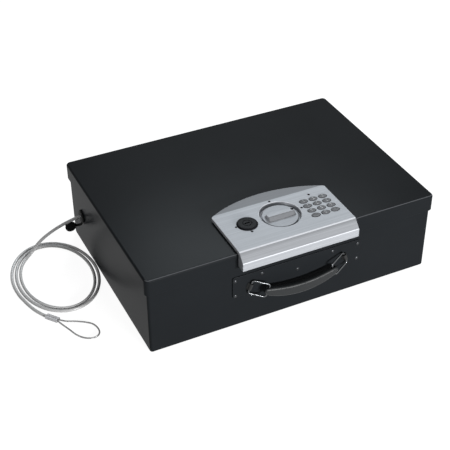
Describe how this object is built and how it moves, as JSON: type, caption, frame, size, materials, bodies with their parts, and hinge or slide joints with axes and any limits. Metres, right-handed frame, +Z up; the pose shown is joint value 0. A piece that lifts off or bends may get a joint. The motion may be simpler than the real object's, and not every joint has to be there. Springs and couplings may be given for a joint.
{
  "type": "portable car safe",
  "caption": "Portable steel car safe with a hinged lid, turn knob, key lock and keypad console, a carrying handle and a tether cable with an eye.",
  "frame": {"origin": "centre of the case's underside, on the surface that it stands on", "axes": "+Z up, -Y is the front with the handle and the console, +X is the right side seen from the front"},
  "size_m": [0.5762, 0.3421, 0.137],
  "materials": {
    "painted_steel": "satin dark blue-grey paint over folded sheet steel",
    "silver_plastic": "fine metallic silver moulding",
    "black_plastic": "black moulding",
    "key_plastic": "pale grey keys",
    "grip_plastic": "dark grey moulding, slightly glossy",
    "bare_steel": "bare or zinc-plated steel",
    "cable_steel": "steel cable in a clear grey coat",
    "rubber": "black rubber",
    "foam": "dark foam mat",
    "board": "green circuit board",
    "cell": "plain cell sleeves",
    "lens": "red status light"
  },
  "bodies": {
    "case": {"case_shell": "painted_steel", "floor_mat": "foam", "strike_plate": "bare_steel", "hinge_leaf_case_left": "painted_steel", "hinge_leaf_case_right": "painted_steel", "hinge_pin_left": "bare_steel", "hinge_pin_right": "bare_steel", "handle_plate": "painted_steel", "handle_clip_left": "black_plastic", "handle_clip_right": "black_plastic", "cable_grommet": "rubber", "cable_anchor": "cable_steel", "cable": "cable_steel", "cable_coil": "cable_steel", "cable_ferrule": "bare_steel", "cable_eye": "bare_steel", "hole_plug": "rubber"},
    "lid": {"lid_shell": "painted_steel", "console": "silver_plastic", "hinge_leaf_lid_left": "painted_steel", "hinge_leaf_lid_right": "painted_steel", "lock_housing": "black_plastic", "battery_door": "black_plastic", "battery_1": "cell", "battery_2": "cell", "battery_3": "cell", "battery_4": "cell", "keypad_board": "board", "solenoid_body": "bare_steel", "key_bezel": "black_plastic", "key_barrel": "bare_steel", "status_led": "lens"},
    "knob": {"knob": "silver_plastic", "knob_cam": "bare_steel"},
    "bolt": {"latch_bolt": "bare_steel"},
    "key_lock": {"key_rotor": "black_plastic", "key_cam": "bare_steel"},
    "plunger": {"solenoid_plunger": "bare_steel"},
    "grip": {"handle_grip": "grip_plastic"},
    "ring_left": {"handle_ring_left": "bare_steel"},
    "ring_right": {"handle_ring_right": "bare_steel"},
    "button_1": {"key_1": "key_plastic"},
    "button_2": {"key_2": "key_plastic"},
    "button_3": {"key_3": "key_plastic"},
    "button_4": {"key_4": "key_plastic"},
    "button_5": {"key_5": "key_plastic"},
    "button_6": {"key_6": "key_plastic"},
    "button_7": {"key_7": "key_plastic"},
    "button_8": {"key_8": "key_plastic"},
    "button_9": {"key_9": "key_plastic"},
    "button_10": {"key_10": "key_plastic"},
    "button_11": {"key_11": "key_plastic"},
    "button_12": {"key_12": "key_plastic"}
  },
  "joints": [
    {"name": "lid_hinge", "type": "hinge", "parent": "case", "child": "lid", "pos_m": [0, 0.1626, 0.0992], "axis": [-1, 0, 0], "range_deg": [0, 100]},
    {"name": "knob_turn", "type": "hinge", "parent": "lid", "child": "knob", "pos_m": [0, -0.1083, 0.131], "axis": [0, 0, 1], "range_deg": [0, 90]},
    {"name": "bolt_slide", "type": "slide", "parent": "lid", "child": "bolt", "axis": [0, -1, 0], "range_m": [0, 0.0091]},
    {"name": "key_turn", "type": "hinge", "parent": "lid", "child": "key_lock", "pos_m": [-0.0523, -0.1095, 0.13], "axis": [0, 0, 1], "range_deg": [0, 90]},
    {"name": "plunger_slide", "type": "slide", "parent": "lid", "child": "plunger", "axis": [0, 1, 0], "range_m": [0, 0.003], "stiffness_N_per_m": 100},
    {"name": "handle_pull", "type": "slide", "parent": "case", "child": "grip", "axis": [0, -1, 0], "range_m": [-0.003, 0.005]},
    {"name": "ring_left_swing", "type": "hinge", "parent": "case", "child": "ring_left", "pos_m": [-0.0724, -0.1605, 0.0672], "axis": [-0.3762, 0, -0.9265], "range_deg": [-7.3, 12]},
    {"name": "ring_right_swing", "type": "hinge", "parent": "case", "child": "ring_right", "pos_m": [0.0784, -0.1605, 0.0672], "axis": [-0.3762, 0, 0.9265], "range_deg": [-7.3, 12]},
    {"name": "key_1_press", "type": "slide", "parent": "lid", "child": "button_1", "axis": [0, 0, -1], "range_m": [0, 0.0008], "stiffness_N_per_m": 400},
    {"name": "key_2_press", "type": "slide", "parent": "lid", "child": "button_2", "axis": [0, 0, -1], "range_m": [0, 0.0008], "stiffness_N_per_m": 400},
    {"name": "key_3_press", "type": "slide", "parent": "lid", "child": "button_3", "axis": [0, 0, -1], "range_m": [0, 0.0008], "stiffness_N_per_m": 400},
    {"name": "key_4_press", "type": "slide", "parent": "lid", "child": "button_4", "axis": [0, 0, -1], "range_m": [0, 0.0008], "stiffness_N_per_m": 400},
    {"name": "key_5_press", "type": "slide", "parent": "lid", "child": "button_5", "axis": [0, 0, -1], "range_m": [0, 0.0008], "stiffness_N_per_m": 400},
    {"name": "key_6_press", "type": "slide", "parent": "lid", "child": "button_6", "axis": [0, 0, -1], "range_m": [0, 0.0008], "stiffness_N_per_m": 400},
    {"name": "key_7_press", "type": "slide", "parent": "lid", "child": "button_7", "axis": [0, 0, -1], "range_m": [0, 0.0008], "stiffness_N_per_m": 400},
    {"name": "key_8_press", "type": "slide", "parent": "lid", "child": "button_8", "axis": [0, 0, -1], "range_m": [0, 0.0008], "stiffness_N_per_m": 400},
    {"name": "key_9_press", "type": "slide", "parent": "lid", "child": "button_9", "axis": [0, 0, -1], "range_m": [0, 0.0008], "stiffness_N_per_m": 400},
    {"name": "key_10_press", "type": "slide", "parent": "lid", "child": "button_10", "axis": [0, 0, -1], "range_m": [0, 0.0008], "stiffness_N_per_m": 400},
    {"name": "key_11_press", "type": "slide", "parent": "lid", "child": "button_11", "axis": [0, 0, -1], "range_m": [0, 0.0008], "stiffness_N_per_m": 400},
    {"name": "key_12_press", "type": "slide", "parent": "lid", "child": "button_12", "axis": [0, 0, -1], "range_m": [0, 0.0008], "stiffness_N_per_m": 400}
  ],
  "couplings": [
    {"joint": "bolt_slide", "follows": "knob_turn", "m_per_rad": 0.00576},
    {"joint": "ring_left_swing", "follows": "handle_pull", "rad_per_m": 41.2},
    {"joint": "ring_right_swing", "follows": "handle_pull", "rad_per_m": 41.2}
  ]
}
